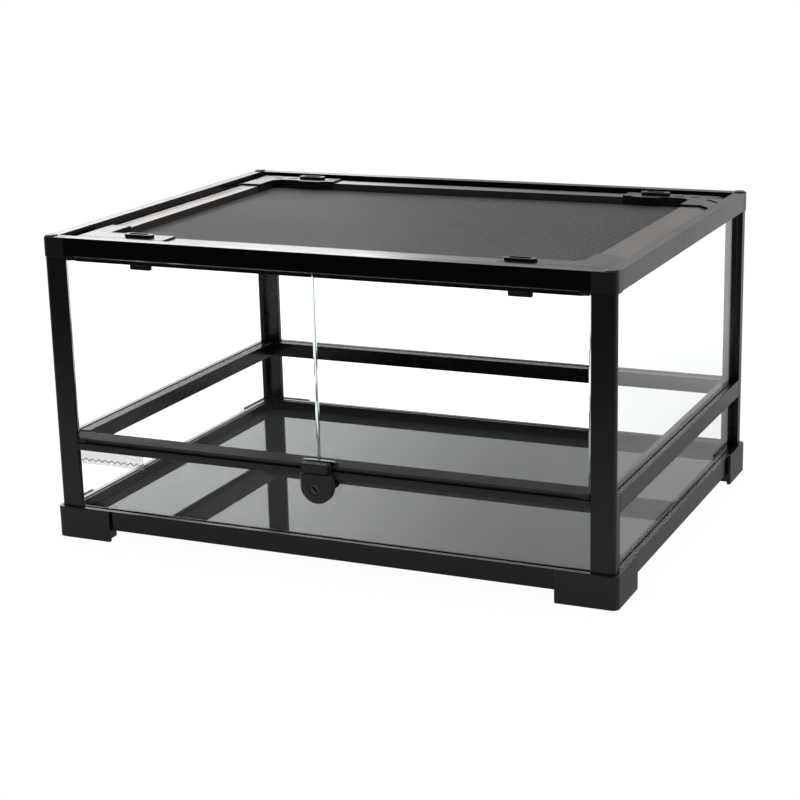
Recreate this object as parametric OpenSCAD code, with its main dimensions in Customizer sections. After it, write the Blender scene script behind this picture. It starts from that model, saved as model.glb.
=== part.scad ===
// Glass reptile terrarium with two swinging front doors, a cylinder lock
// and a lift-off mesh lid. Sizes are millimetres, +Z is up, the front faces -Y
// and the origin is the centre of the footprint on the ground.

/* [Overall] */
// Width across the outer faces of the frame
frame_w = 600; // [420:1:900]
// Depth across the outer faces of the frame
frame_d = 456; // [340:1:700]
// Height from the ground to the top of the rim
frame_h = 315; // [240:1:600]
// How far the bottom rails, posts and middle rails are set in from the rim
skin_in = 1; // [0:0.1:3]

/* [Glass] */
// Thickness of every wall pane
pane_t = 4; // [3:0.1:6]
// Thickness of the floor pane
floor_t = 5; // [4:0.1:8]
// Clearance on each side of a pane in its groove
pane_gap = 0.3; // [0.1:0.1:1]
// Distance from the rim's outer face to the pane grooves
groove_in = 6.5; // [4:0.1:12]
// Gap between two panes that meet in a corner
pane_corner_gap = 0.3; // [0.1:0.1:1]

/* [Feet] */
// Height of the pads under the bottom rails
foot_pad_h = 12; // [6:0.5:30]
// How far a foot stands proud of the rim's outer face
foot_out = 3; // [1:0.1:8]
// Length of each arm of a foot from the rim's outer corner
foot_arm = 59; // [40:1:100]
// Reach of a foot's pad inward from the rim's outer face
foot_pad_in = 11; // [8:0.5:22]
// How far the pad's underside lies above the foot's lower edge
foot_recess = 3; // [0:0.5:6]
// How far a foot's wall stands above the bottom rail
foot_lip = 1; // [0:0.1:4]
// Radius of a foot's outer corner
foot_r = 7; // [5:0.5:20]

/* [Bottom rails] */
// Height of the bottom rails
rail_h = 20; // [16:0.5:40]
// Thickness of the wall between the groove and the inside
rail_wall = 2.4; // [1.5:0.1:5]
// Depth of the pane groove in the top of a bottom rail
rail_groove = 8; // [4:0.5:14]
// Width of the ledge that carries the floor pane
floor_ledge_w = 8.5; // [5:0.5:20]
// How far the top of the floor pane lies below the rail top
floor_drop = 10.5; // [4:0.5:12]
// Clearance round the floor pane
floor_gap = 0.3; // [0.1:0.1:1]

/* [Posts] */
// Reach of the posts and corner pieces along the front and the rear
post_reach = 25; // [18:0.5:40]
// Reach of the posts and corner pieces along the sides
post_side = 15; // [14:0.5:30]
// Outer radius of a post
post_r = 4.5; // [2:0.5:5]

/* [Middle rails] */
// Height of the underside of the front middle rail
front_mid_z = 95; // [60:1:140]
// Height of the lip of the front middle rail
front_lip_h = 7.5; // [5:0.5:15]
// Radius of the lip's top front edge
front_lip_r = 1.8; // [0.5:0.1:3]
// Height of the box behind the lip
front_box_h = 11.3; // [8:0.1:20]
// Reach of the box from the rim's front face
front_box_in = 30; // [20:0.5:50]
// Depth of the pane groove under the front middle rail
front_mid_groove = 4; // [2:0.5:7]
// How far the side and rear middle rails lie below the front one
side_mid_drop = 6; // [2:0.5:8]
// Height of the side and rear middle rails
side_mid_h = 18.5; // [14:0.5:30]
// Reach of the side and rear middle rails from the outer face
side_mid_in = 22; // [16:0.5:40]
// Depth of the groove in the underside of these rails
side_mid_groove = 7; // [3:0.5:8]
// Thickness of the web between their two grooves
side_mid_web = 5.5; // [3:0.5:10]
// Clearance between two rails that meet end to face
rail_gap = 0.3; // [0:0.1:1]

/* [Top rails] */
// Outer radius of the rim's corners
rim_r = 6; // [3:0.5:8]
// Width of the rim seen from above
rim_w = 12.5; // [11.5:0.1:20]
// Corner radius of the lid's pocket
pocket_r = 2.5; // [0.5:0.5:2.5]
// Height of the front fascia
fascia_h = 18.5; // [16:0.1:40]
// Height of the side and rear fascias
side_fascia_h = 19.3; // [16:0.1:40]
// Height of a corner piece
corner_h = 20; // [18:0.5:40]
// Depth of the lid's ledge below the rim
ledge_drop = 14.5; // [13:0.1:20]
// Reach of the ledge from the outer face
ledge_in = 32; // [24:0.5:50]
// How far the door stop hangs below the front fascia
stop_h = 5.9; // [3:0.1:12]
// Distance from the rim's front face to the door stop
stop_in = 7; // [6:0.1:12]
// Distance from the rim to the end of the pane groove
top_groove_drop = 12.3; // [8:0.1:16]
// Radius of the round plugs in the corner pieces
plug_r = 6.2; // [3:0.1:6.5]
// Distance of a plug's centre from both outer faces
plug_in = 7.2; // [7:0.1:10]
// Thickness of a plug
plug_t = 3; // [1:0.1:5]
// Height of a plug above the rim
plug_up = 1.5; // [0.8:0.1:3]
// Height of the bevel round a plug's top
plug_bevel = 0.7; // [0.2:0.1:0.8]
// Radial clearance round a plug or a cap
plug_gap = 0.1; // [0.05:0.05:0.5]

/* [Doors] */
// Thickness of the door glass
door_t = 4; // [3:0.1:6]
// Distance from the rim's front face to the door glass
door_in = 1.5; // [0.5:0.1:3]
// Gap between a door and the post beside it
door_side_gap = 1.2; // [1.2:0.1:4]
// Gap between the two doors
door_mid_gap = 1.5; // [0.5:0.1:4]
// Gap between a door and the lip under it
door_low_gap = 1.5; // [1:0.1:4]
// Gap between a door and the fascia over it
door_top_gap = 1; // [0.7:0.1:4]
// Half width of the cut-out round the lock cap
door_notch_half = 16.5; // [15:0.5:30]
// Clearance over the lock cap in that cut-out
door_notch_gap = 0.8; // [0.5:0.1:3]

/* [Door hinges] */
// Distance from a door's outer edge to the pivot
pivot_in = 4.5; // [4:0.1:8]
// Width of a hinge shoe along the door
shoe_w = 9; // [7:0.5:20]
// Height of a hinge shoe along the door edge
shoe_h = 3; // [2:0.5:20]
// Thickness of a shoe's cheek
shoe_cheek = 0.8; // [0.6:0.1:0.8]
// Thickness of a shoe beyond the glass edge
shoe_base = 0.6; // [0.3:0.1:0.6]
// Radius of a hinge pin
hinge_pin_r = 1.5; // [1:0.1:1.6]
// Length of a hinge pin in its hole
hinge_pin_in = 4.5; // [3:0.5:5]
// Radial clearance of a hinge pin
hinge_pin_gap = 0.1; // [0.05:0.05:0.3]
// Clearance round the turning edge of a door
hinge_sweep_gap = 0.7; // [0.4:0.1:2]
// Largest opening angle of a door, for reference
door_open_deg = 110; // [60:1:120]

/* [Lock] */
// Half width of the lock housing at its back
lock_half = 17.5; // [14:0.5:25]
// Half width of the flat front of the housing
lock_face_half = 13.5; // [8:0.5:20]
// How far the lock stands in front of the rim
lock_out = 9; // [6:0.5:16]
// Depth of the housing's side bevels
lock_bevel = 4; // [1:0.5:6]
// Height of the housing above the centre of its round bottom
lock_straight = 13.5; // [8:0.5:30]
// Distance from the top of the housing down to the lip's top
lock_top_drop = 1.5; // [0:0.5:5]
// Radius of the boss that reaches back to the pane
lock_boss_r = 14.5; // [8:0.5:17]
// Radius of the key cylinder
key_r = 5.6; // [4:0.1:8]
// Height of the key cylinder's centre below the housing's top
key_drop = 15; // [12:0.5:20]
// Length of the key cylinder
key_len = 8; // [4:0.5:9]
// How far the key cylinder's face lies behind the housing's face
key_sunk = 0.2; // [0:0.1:1]
// Radial clearance of the key cylinder
key_gap = 0.1; // [0.05:0.05:0.5]
// Width of the key slot
key_slot_w = 1.4; // [0.8:0.1:2.5]
// Length of the key slot
key_slot_l = 7; // [4:0.1:9]
// Half width of the lock cap
cap_half = 14; // [10:0.5:16]
// Height of the lock cap
cap_h = 9.5; // [6:0.5:16]
// Seam between the cap and the housing
cap_seam = 0.5; // [0.3:0.1:1]
// Corner radius of the lock cap
cap_r = 2.5; // [0.5:0.1:4]
// Clearance between the cap and the closed doors
cap_back_gap = 0.7; // [0.3:0.1:2]
// Lift of the cap that locks the doors
cap_travel = 5; // [3:0.5:8]
// Half width of the cap's stem
stem_half = 6; // [3:0.5:10]
// Thickness of the cap's stem
stem_t = 3.4; // [2:0.1:5]
// Length of the cap's stem
stem_len = 7.5; // [6:0.5:12]
// Distance of the stem's front face from the cap's front face
stem_in = 2.8; // [1.5:0.1:5]
// Clearance round the cap's stem
stem_gap = 0.3; // [0.1:0.1:1]
// Half width of the lock's back plate
back_plate_half = 17; // [10:0.5:25]
// Thickness of the back plate
back_plate_t = 3; // [1.5:0.1:5]
// Length of the back plate below the front middle rail
back_plate_down = 12; // [6:0.5:30]
// Height of the back plate above the box of that rail
back_plate_up = 3.7; // [1:0.1:10]
// Corner radius of the back plate
back_plate_r = 5; // [1:0.5:8]

/* [Lid] */
// Gap between the lid and the rim
lid_gap = 1.5; // [0.5:0.1:4]
// Corner radius of the lid
lid_r = 11; // [8:0.5:14]
// Width of the lid's bars
lid_bar_w = 34.5; // [28:0.5:60]
// How far the lid's flat top lies below the rim
lid_drop = 4; // [1:0.1:6]
// Clearance between the lid and its ledge
lid_seat_gap = 0.2; // [0.1:0.1:1]
// Width of the lid's sloping shoulder
shoulder_w = 14; // [6:0.5:20]
// Fall of the shoulder from the flat top to the edge
shoulder_fall = 4; // [1:0.1:6]
// Width of the rebate that holds the mesh
rebate_w = 5.5; // [4:0.5:10]
// Depth of the mesh below the lid's flat top
mesh_drop = 8; // [4:0.5:9]
// Thickness of the mesh
mesh_t = 0.9; // [0.5:0.1:2]
// Width of a mesh strand
mesh_strand = 1.4; // [0.6:0.1:3]
// Number of gaps across the width
mesh_nx = 18; // [4:1:20]
// Number of gaps across the depth
mesh_ny = 14; // [4:1:15]
// Clearance between the mesh and the rebate's side
mesh_gap = 0.3; // [0.1:0.1:1]
// Width of the cord that holds the mesh
spline_w = 4.4; // [3:0.1:8]

/* [Lid corners] */
// Thickness of the lid's corner plates
plate_t = 2; // [1:0.1:2.4]
// Reach of a corner plate along the front and the rear
plate_long = 125; // [100:1:180]
// Reach of a corner plate along the sides
plate_side = 88; // [60:1:150]
// Bare strip of shoulder outside the corner plates
plate_edge = 3.5; // [0.5:0.1:6]
// Diagonal across a plate's inner corner
plate_diag = 10; // [1:0.5:20]
// Thickness of the skirt down the bars' inner faces
skirt_t = 1.2; // [0.8:0.1:2.5]
// Width of the lobe beside a rear latch, at the plate's edge
lobe_base = 38; // [20:1:44]
// Width of that lobe at its tip
lobe_tip = 25; // [10:1:36]
// How far the lobe stands out over the mesh
lobe_out = 6; // [2:0.5:10]
// Width of the notch in a rear plate's side arm
notch_w = 13; // [4:0.5:20]
// Length of that notch
notch_l = 6; // [2:0.5:20]
// Distance of that notch from the rear face
notch_at = 52; // [50:1:70]
// Radius of the round caps on the rear plates
port_r = 5.7; // [4:0.1:6.5]
// Distance of the outer cap from the side face
port_at = 49; // [44:0.5:52]
// Distance between the two caps
port_pitch = 17.5; // [14:0.5:20]
// Height of the caps above the plate
port_up = 0.5; // [0.2:0.1:2]

/* [Lid latches] */
// Distance of an outer latch position from the side face
latch_at = 92; // [88:1:110]
// Distance of a latch's centre line from the outer face
latch_in = 36; // [34:0.5:40]
// Length of a latch's oval slider
slider_l = 32.5; // [26:0.5:36]
// Width of the slider
slider_w = 10; // [6:0.5:12]
// Thickness of the slider
slider_t = 2.7; // [2:0.1:4]
// Length of the thumb hollow in the slider
thumb_l = 22; // [10:0.5:26]
// Width of the thumb hollow
thumb_w = 6; // [3:0.5:8]
// Depth of the thumb hollow
thumb_depth = 1.6; // [0.5:0.1:2]
// Travel of a latch from open to locked
latch_travel = 12; // [8:0.5:13]
// Clearance under the slider and round its stem
latch_gap = 0.3; // [0.2:0.1:1]
// Length of the stem through the lid bar
latch_stem_l = 7.4; // [6:0.1:10]
// Thickness of the stem and the tab
latch_stem_t = 3; // [2:0.1:5]
// Width of the tab under the lid
tab_w = 24; // [16:0.5:30]
// Length of the tab below the ledge
tab_down = 11; // [6:0.5:20]
// Bevel at the tab's lower corners
tab_bevel = 1; // [0.5:0.5:4]
// Width of the latch hook
hook_w = 7; // [4:0.5:8]
// Thickness of the latch hook
hook_t = 3; // [2:0.1:5]
// Reach of the hook under the ledge
hook_reach = 9; // [4:0.5:12]
// Clearance between the hook and the ledge
hook_gap = 0.6; // [0.4:0.1:2]
// Clearance on each side of the hook in the ledge's notch
hook_side_gap = 0.7; // [0.4:0.1:2]

/* [Level film] */
// Length of the film on the front lower pane
film_w = 74; // [20:1:150]
// Height of the film
film_h = 15.5; // [5:0.5:40]
// Thickness of the film
film_t = 0.2; // [0.1:0.05:0.25]
// Gap between the film and the middle rail
film_gap = 0.5; // [0.2:0.1:5]

/* [View] */
// Which piece to draw

/* [Hidden] */
eps = 0.01;
big = 4000;

// Placing: the footprint runs from the lock's face to the rear feet
total_d = lock_out + frame_d + foot_out;
front = lock_out - total_d / 2;
back = front + frame_d;
mid_y = (front + back) / 2;
half_w = frame_w / 2;

// Heights from the ground
rail_z = foot_pad_h;
rail_top = rail_z + rail_h;
floor_top = rail_top - floor_drop;
floor_z = floor_top - floor_t;
corner_z = frame_h - corner_h;
ledge_z = frame_h - ledge_drop;
fascia_z = frame_h - fascia_h;
side_fascia_z = frame_h - side_fascia_h;
stop_z = fascia_z - stop_h;
groove_top = frame_h - top_groove_drop;
side_mid_z = front_mid_z - side_mid_drop;
lip_top = front_mid_z + front_lip_h;
box_top = front_mid_z + front_box_h;
side_mid_top = side_mid_z + side_mid_h;
lower_groove_top = side_mid_z + side_mid_groove;
upper_groove_z = lower_groove_top + side_mid_web;
front_groove_top = front_mid_z + front_mid_groove;

// Distances inward from the rim's outer face
pane_out = groove_in + pane_gap;
pane_inner = pane_out + pane_t;
groove_end = pane_inner + pane_gap;
rail_in = groove_end + rail_wall;
floor_edge = rail_in + floor_gap;
floor_ledge_in = rail_in + floor_ledge_w;
between = half_w - pane_inner - pane_corner_gap;
pane_start = groove_in + pane_gap + 0.2;
door_back = door_in + door_t;
door_mid = door_in + door_t / 2;

// Pane heights
low_pane_z = rail_top - rail_groove;
low_pane_top = lower_groove_top - pane_gap;
front_pane_top = front_groove_top - pane_gap;
up_pane_z = upper_groove_z + pane_gap;
up_pane_top = groove_top - pane_gap;

// Doors
door_z = lip_top + door_low_gap;
door_top = fascia_z - door_top_gap;
door_edge = half_w - post_reach - door_side_gap;
pivot_x = door_edge - pivot_in;
shoe_z = door_z - shoe_base;
shoe_top = door_top + shoe_base;
shoe_half_t = door_t / 2 + shoe_cheek;
sweep_r = sqrt(pivot_in * pivot_in + shoe_half_t * shoe_half_t) + hinge_sweep_gap;
pin_hole_r = hinge_pin_r + hinge_pin_gap;

// Lock
lock_top = lip_top - lock_top_drop;
lock_round_z = lock_top - lock_straight;
key_z = lock_top - key_drop;
key_hole_r = key_r + key_gap;
cap_z = lock_top + cap_seam;
cap_top = cap_z + cap_h;
cap_back = door_in - cap_back_gap;
door_notch_top = cap_top + door_notch_gap;
stem_front = -lock_out + stem_in;

// Lid
lid_out = rim_w + lid_gap;
lid_in = lid_out + lid_bar_w;
lid_top = frame_h - lid_drop;
lid_z = ledge_z + lid_seat_gap;
lid_edge_z = lid_top - shoulder_fall;
flat_from = lid_out + shoulder_w;
mesh_top = lid_top - mesh_drop;
mesh_z = mesh_top - mesh_t;
rebate_at = lid_in - rebate_w;
mesh_w = frame_w - 2 * (rebate_at + mesh_gap);
mesh_d = frame_d - 2 * (rebate_at + mesh_gap);
mesh_cx = (mesh_w - mesh_strand) / mesh_nx;
mesh_cy = (mesh_d - mesh_strand) / mesh_ny;
spline_z = lid_z;
spline_at = rebate_at + mesh_gap;
plate_from = lid_out + plate_edge;
plate_top = lid_top + plate_t;

// Latches
slider_z = plate_top + latch_gap;
stem_slot_l = latch_stem_l + latch_travel + 2 * latch_gap;
stem_slot_w = latch_stem_t + 2 * latch_gap;
stem_from = latch_in - latch_stem_t / 2;
stem_to = latch_in + latch_stem_t / 2;
hook_from = stem_from - hook_reach;
notch_from = hook_from - latch_gap;
notch_half = hook_w / 2 + hook_side_gap;

// Finishes
black = [0.10, 0.10, 0.11];
dark = [0.06, 0.06, 0.065];
satin = [0.62, 0.60, 0.57];
clear_glass = [0.78, 0.88, 0.86, 0.35];
metal = [0.55, 0.55, 0.56];

// ---- placing helpers: local x runs along a side, y runs inward, z is up ----
module at_front() {
  translate([0, front, 0]) children();
}

module at_rear() {
  translate([0, back, 0]) rotate([0, 0, 180]) children();
}

module at_left() {
  translate([-half_w, mid_y, 0]) rotate([0, 0, -90]) children();
}

module at_right() {
  translate([half_w, mid_y, 0]) rotate([0, 0, 90]) children();
}

// local origin is an outer corner of the rim, +x and +y run inward
module at_corner(sx, sy) {
  translate([sx * half_w, sy < 0 ? front : back, 0])
    mirror([sx > 0 ? 1 : 0, 0, 0])
      mirror([0, sy > 0 ? 1 : 0, 0])
        children();
}

// a profile in (inward, up) drawn as 2D, run along local x
module run(x0, x1) {
  translate([x0, 0, 0])
    rotate([90, 0, 90])
      linear_extrude(height = x1 - x0)
        children();
}

// ---- outlines ----
module corner_square(size, r) {
  difference() {
    square(size);
    difference() {
      translate([-1, -1]) square(r + 1);
      translate([r, r]) circle(r, $fn = 64);
    }
  }
}

module round_rect(w, d, r) {
  square([w - 2 * r, d], center = true);
  square([w, d - 2 * r], center = true);
  for (sx = [-1, 1])
    for (sy = [-1, 1])
      translate([sx * (w / 2 - r), sy * (d / 2 - r)])
        circle(r, $fn = 64);
}

module stadium(l, w) {
  square([l - w, w], center = true);
  translate([(l - w) / 2, 0]) circle(w / 2, $fn = 48);
  translate([-(l - w) / 2, 0]) circle(w / 2, $fn = 48);
}

// wedge of the plan that belongs to one side, for mitred ends
module side_wedge(len, deep, z0, z1) {
  translate([0, 0, z0])
    linear_extrude(height = z1 - z0)
      polygon([
        [-len / 2, 0],
        [len / 2, 0],
        [len / 2 - deep, deep],
        [-len / 2 + deep, deep]
      ]);
}

// upright prism with rounded corners, inset from the rim
module body_prism(inset, r, z0, z1) {
  translate([0, mid_y, z0])
    linear_extrude(height = z1 - z0)
      round_rect(frame_w - 2 * inset, frame_d - 2 * inset, r);
}

// ---- feet ----
module foot_room(z0, z1) {
  translate([skin_in, skin_in, z0])
    linear_extrude(height = z1 - z0)
      corner_square(big, foot_r - foot_out - skin_in);
}

module foot() {
  difference() {
    translate([-foot_out, -foot_out, 0])
      linear_extrude(height = rail_top + foot_lip)
        corner_square(foot_arm + foot_out, foot_r);
    foot_room(foot_pad_h, big);
    foot_room(-1, foot_recess);
    translate([foot_pad_in, foot_pad_in, -1])
      cube([big, big, big]);
  }
}

// ---- bottom rails ----
module bottom_profile() {
  polygon([
    [skin_in, rail_z],
    [floor_ledge_in, rail_z],
    [floor_ledge_in, floor_z],
    [rail_in, floor_z],
    [rail_in, rail_top],
    [groove_end, rail_top],
    [groove_end, low_pane_z],
    [groove_in, low_pane_z],
    [groove_in, rail_top],
    [skin_in, rail_top]
  ]);
}

module bottom_rail(len) {
  intersection() {
    run(-len / 2, len / 2) bottom_profile();
    side_wedge(len, floor_ledge_in + 5, 0, rail_top + 5);
  }
}

module bottom_corner_cut() {
  body_prism(skin_in, foot_r - foot_out - skin_in, 0, rail_top + 5);
}

// ---- posts ----
// a post up to the height z1, with its side leg cut off at the reach side
module post_part(side, z1) {
  difference() {
    translate([skin_in, skin_in, rail_top])
      linear_extrude(height = z1 - rail_top)
        intersection() {
          corner_square(post_reach - skin_in, post_r);
          square([post_reach - skin_in, side - skin_in]);
        }
    translate([groove_in, groove_in, 0])
      cube([big, big, big]);
  }
}

// the rear posts have a side leg all the way up
module rear_post() {
  post_part(post_side, corner_z);
}

// the front posts have one up to the top of the middle rails
module front_post() {
  post_part(post_side, side_mid_top);
  post_part(groove_in, corner_z);
}

// ---- middle rails ----
module front_mid_profile() {
  difference() {
    polygon([
      [skin_in, front_mid_z],
      [groove_in, front_mid_z],
      [groove_in, front_groove_top],
      [groove_end, front_groove_top],
      [groove_end, front_mid_z],
      [front_box_in, front_mid_z],
      [front_box_in, box_top],
      [stop_in, box_top],
      [stop_in, lip_top],
      [skin_in, lip_top]
    ]);
    translate([skin_in - 1, lip_top - front_lip_r])
      difference() {
        square([front_lip_r + 1, front_lip_r + 1]);
        translate([front_lip_r + 1, 0]) circle(front_lip_r, $fn = 32);
      }
  }
}

module mid_front() {
  lip_half = half_w - post_reach;
  difference() {
    intersection() {
      run(-between + rail_gap, between - rail_gap) front_mid_profile();
      union() {
        translate([-lip_half, 0, 0]) cube([2 * lip_half, big, big]);
        translate([-half_w, stop_in, 0]) cube([frame_w, big, big]);
      }
    }
    for (s = [-1, 1])
      translate([s * pivot_x, door_mid, 0]) {
        translate([0, 0, lip_top - hinge_pin_in - 1])
          cylinder(h = big, r = pin_hole_r, $fn = 48);
        translate([0, 0, lip_top])
          cylinder(h = big, r = sweep_r, $fn = 64);
      }
    translate([-back_plate_half - pane_gap, groove_end, 0])
      cube([2 * (back_plate_half + pane_gap), back_plate_t + pane_gap, big]);
  }
}

module side_mid_flange(half_len) {
  run(-half_len, half_len)
    translate([skin_in, side_mid_z])
      square([groove_in - skin_in, side_mid_h]);
}

module side_mid_inner(x0, x1) {
  run(x0, x1)
    polygon([
      [groove_in, lower_groove_top],
      [groove_end, lower_groove_top],
      [groove_end, side_mid_z + 2],
      [side_mid_in, side_mid_z + 2],
      [side_mid_in, side_mid_top],
      [groove_end, side_mid_top],
      [groove_end, upper_groove_z],
      [groove_in, upper_groove_z]
    ]);
}

module mid_side(front_is_plus) {
  half_len = frame_d / 2 - post_side;
  near = frame_d / 2 - front_box_in - rail_gap;
  far = frame_d / 2 - side_mid_in - rail_gap;
  side_mid_flange(half_len);
  side_mid_inner(front_is_plus ? -far : -near, front_is_plus ? near : far);
}

module mid_rear() {
  side_mid_flange(half_w - post_reach);
  side_mid_inner(-between + rail_gap, between - rail_gap);
}

// ---- top frame ----
module side_top_profile() {
  polygon([
    [0, frame_h],
    [rim_w, frame_h],
    [rim_w, ledge_z],
    [ledge_in, ledge_z],
    [ledge_in, side_fascia_z],
    [groove_end, side_fascia_z],
    [groove_end, groove_top],
    [groove_in, groove_top],
    [groove_in, side_fascia_z],
    [0, side_fascia_z]
  ]);
}

module front_top_profile() {
  polygon([
    [0, frame_h],
    [rim_w, frame_h],
    [rim_w, ledge_z],
    [ledge_in, ledge_z],
    [ledge_in, stop_z],
    [stop_in, stop_z],
    [stop_in, fascia_z],
    [0, fascia_z]
  ]);
}

// notches that the latch hooks pass when the lid is lifted; shift moves
// the one on the +x side towards the middle
module hook_notches(shift) {
  for (s = [-1, 1])
    translate([latch_x(s, shift) - notch_half, notch_from, 0])
      cube([2 * notch_half, big, ledge_z + 1]);
}

module top_front() {
  len = half_w - post_reach;
  difference() {
    run(-len, len) front_top_profile();
    hook_notches(latch_travel);
    for (s = [-1, 1])
      translate([s * pivot_x, door_mid, 0]) {
        cylinder(h = fascia_z + hinge_pin_in + 1, r = pin_hole_r, $fn = 48);
        cylinder(h = fascia_z, r = sweep_r, $fn = 64);
      }
  }
}

module top_rear() {
  len = half_w - post_reach;
  difference() {
    run(-len, len) side_top_profile();
    hook_notches(0);
  }
}

module top_side() {
  len = frame_d / 2 - post_side;
  cut = frame_d / 2 - ledge_in;
  difference() {
    run(-len, len) side_top_profile();
    for (s = [-1, 1])
      translate([s > 0 ? cut : -cut - big, post_reach, 0])
        cube([big, big, big]);
  }
}

module top_corner() {
  difference() {
    translate([0, 0, corner_z])
      linear_extrude(height = corner_h)
        intersection() {
          corner_square(post_reach, rim_r);
          square([post_reach, post_side]);
        }
    translate([rim_w, rim_w, ledge_z])
      linear_extrude(height = big)
        corner_square(big, pocket_r);
    translate([groove_in, groove_in, corner_z - 1])
      cube([big, groove_end - groove_in, groove_top - corner_z + 1]);
    translate([groove_in, groove_in, corner_z - 1])
      cube([groove_end - groove_in, big, groove_top - corner_z + 1]);
    translate([plug_in, plug_in, frame_h - plug_t])
      cylinder(h = big, r = plug_r + plug_gap, $fn = 64);
  }
}

module corner_plug() {
  translate([plug_in, plug_in, frame_h - plug_t]) {
    cylinder(h = plug_t + plug_up - plug_bevel, r = plug_r, $fn = 64);
    translate([0, 0, plug_t + plug_up - plug_bevel])
      cylinder(h = plug_bevel, r1 = plug_r, r2 = plug_r - 2 * plug_bevel, $fn = 64);
  }
}

// ---- panes, drawn in a side's own frame ----
module pane(half_len, z0, z1) {
  translate([-half_len, pane_out, z0])
    cube([2 * half_len, pane_t, z1 - z0]);
}

// ---- doors, drawn for the left leaf ----
module door() {
  difference() {
    translate([-door_edge, door_in, door_z])
      cube([door_edge - door_mid_gap / 2, door_t, door_top - door_z]);
    translate([-door_notch_half, -big / 2, 0])
      cube([2 * door_notch_half, big, door_notch_top]);
  }
}

module hinge_shoe_pair() {
  difference() {
    union() {
      translate([-door_edge, door_mid - shoe_half_t, shoe_z])
        cube([shoe_w, 2 * shoe_half_t, shoe_h]);
      translate([-door_edge, door_mid - shoe_half_t, shoe_top - shoe_h])
        cube([shoe_w, 2 * shoe_half_t, shoe_h]);
      translate([-pivot_x, door_mid, lip_top - hinge_pin_in])
        cylinder(h = hinge_pin_in + shoe_z - lip_top + 0.2, r = hinge_pin_r, $fn = 48);
      translate([-pivot_x, door_mid, shoe_top - 0.2])
        cylinder(h = fascia_z - shoe_top + 0.2 + hinge_pin_in, r = hinge_pin_r, $fn = 48);
    }
    translate([-door_edge - 1, door_in, door_z])
      cube([big, door_t, door_top - door_z]);
  }
}

// ---- lock ----
module lock_housing_shape() {
  straight = lock_out - lock_bevel;
  difference() {
    union() {
      translate([0, 0, lock_round_z])
        linear_extrude(height = lock_straight)
          polygon([
            [-lock_half, skin_in],
            [-lock_half, -straight],
            [-lock_face_half, -lock_out],
            [lock_face_half, -lock_out],
            [lock_half, -straight],
            [lock_half, skin_in]
          ]);
      intersection() {
        union() {
          translate([0, skin_in, lock_round_z])
            rotate([90, 0, 0])
              cylinder(h = straight + skin_in, r = lock_half, $fn = 96);
          translate([0, -straight, lock_round_z])
            rotate([90, 0, 0])
              cylinder(h = lock_bevel, r1 = lock_half, r2 = lock_face_half, $fn = 96);
        }
        translate([-half_w, -half_w, 0])
          cube([frame_w, frame_w, lock_round_z]);
      }
      intersection() {
        translate([0, pane_out, lock_round_z])
          rotate([90, 0, 0])
            cylinder(h = pane_out, r = lock_boss_r, $fn = 96);
        translate([-half_w, 0, 0])
          cube([frame_w, big, front_mid_z]);
      }
    }
    translate([0, -lock_out + key_len, key_z])
      rotate([90, 0, 0])
        cylinder(h = big, r = key_hole_r, $fn = 64);
    translate([-stem_half - stem_gap, stem_front - stem_gap, cap_z - stem_len - stem_gap])
      cube([2 * (stem_half + stem_gap), stem_t + 2 * stem_gap, big]);
  }
}

module lock_cap_shape() {
  deep = lock_out + cap_back;
  translate([0, cap_back, cap_z + cap_h / 2])
    rotate([90, 0, 0])
      linear_extrude(height = deep)
        round_rect(2 * cap_half, cap_h, cap_r);
  translate([-stem_half, stem_front, cap_z - stem_len])
    cube([2 * stem_half, stem_t, stem_len + cap_r + 0.5]);
}

module lock_cylinder_shape() {
  difference() {
    translate([0, -lock_out + key_len, key_z])
      rotate([90, 0, 0])
        cylinder(h = key_len - key_sunk, r = key_r, $fn = 64);
    translate([0, -lock_out, key_z])
      rotate([0, 45, 0])
        cube([key_slot_l, 2 * (key_len - 3), key_slot_w], center = true);
  }
}

module lock_back_plate_shape() {
  z0 = front_mid_z - back_plate_down;
  z1 = box_top + back_plate_up;
  translate([0, groove_end + back_plate_t, (z0 + z1) / 2])
    rotate([90, 0, 0])
      linear_extrude(height = back_plate_t)
        round_rect(2 * back_plate_half, z1 - z0, back_plate_r);
}

// ---- lid ----
module lid_profile() {
  polygon([
    [lid_out, lid_z],
    [lid_out, lid_edge_z],
    [flat_from, lid_top],
    [lid_in, lid_top],
    [lid_in, mesh_top],
    [rebate_at, mesh_top],
    [rebate_at, lid_z]
  ]);
}

module lid_bar(len) {
  intersection() {
    run(-len / 2, len / 2) lid_profile();
    side_wedge(len, lid_in + 5, 0, frame_h);
  }
}

module lid_prism() {
  body_prism(lid_out, lid_r, 0, frame_h);
}

// place of a latch along its side; s is +1 where outward is +x, and shift
// moves the one on the +x side towards the middle
function latch_x(s, shift) = s * (half_w - latch_at) - (s > 0 ? shift : 0);

module latch_place(s, shift) {
  translate([latch_x(s, shift), latch_in, 0]) children();
}

module stem_slots() {
  for (s = [-1, 1])
    latch_place(s, 0)
      translate([-s * latch_travel / 2 - stem_slot_l / 2, -stem_slot_w / 2, 0])
        cube([stem_slot_l, stem_slot_w, big]);
}

module plate_profile() {
  slope = shoulder_fall / shoulder_w;
  low = lid_top - (flat_from - plate_from) * slope;
  polygon([
    [plate_from, low],
    [flat_from, lid_top],
    [lid_in, lid_top],
    [lid_in, plate_top],
    [flat_from, plate_top],
    [plate_from, low + plate_t]
  ]);
}

// arm of a corner plate from the corner along +x, cut on the diagonal
module plate_arm(reach) {
  intersection() {
    run(0, reach) plate_profile();
    linear_extrude(height = frame_h)
      polygon([
        [0, 0],
        [reach + 1, 0],
        [reach + 1, lid_in + 1],
        [lid_in + 1, lid_in + 1]
      ]);
  }
}

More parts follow.
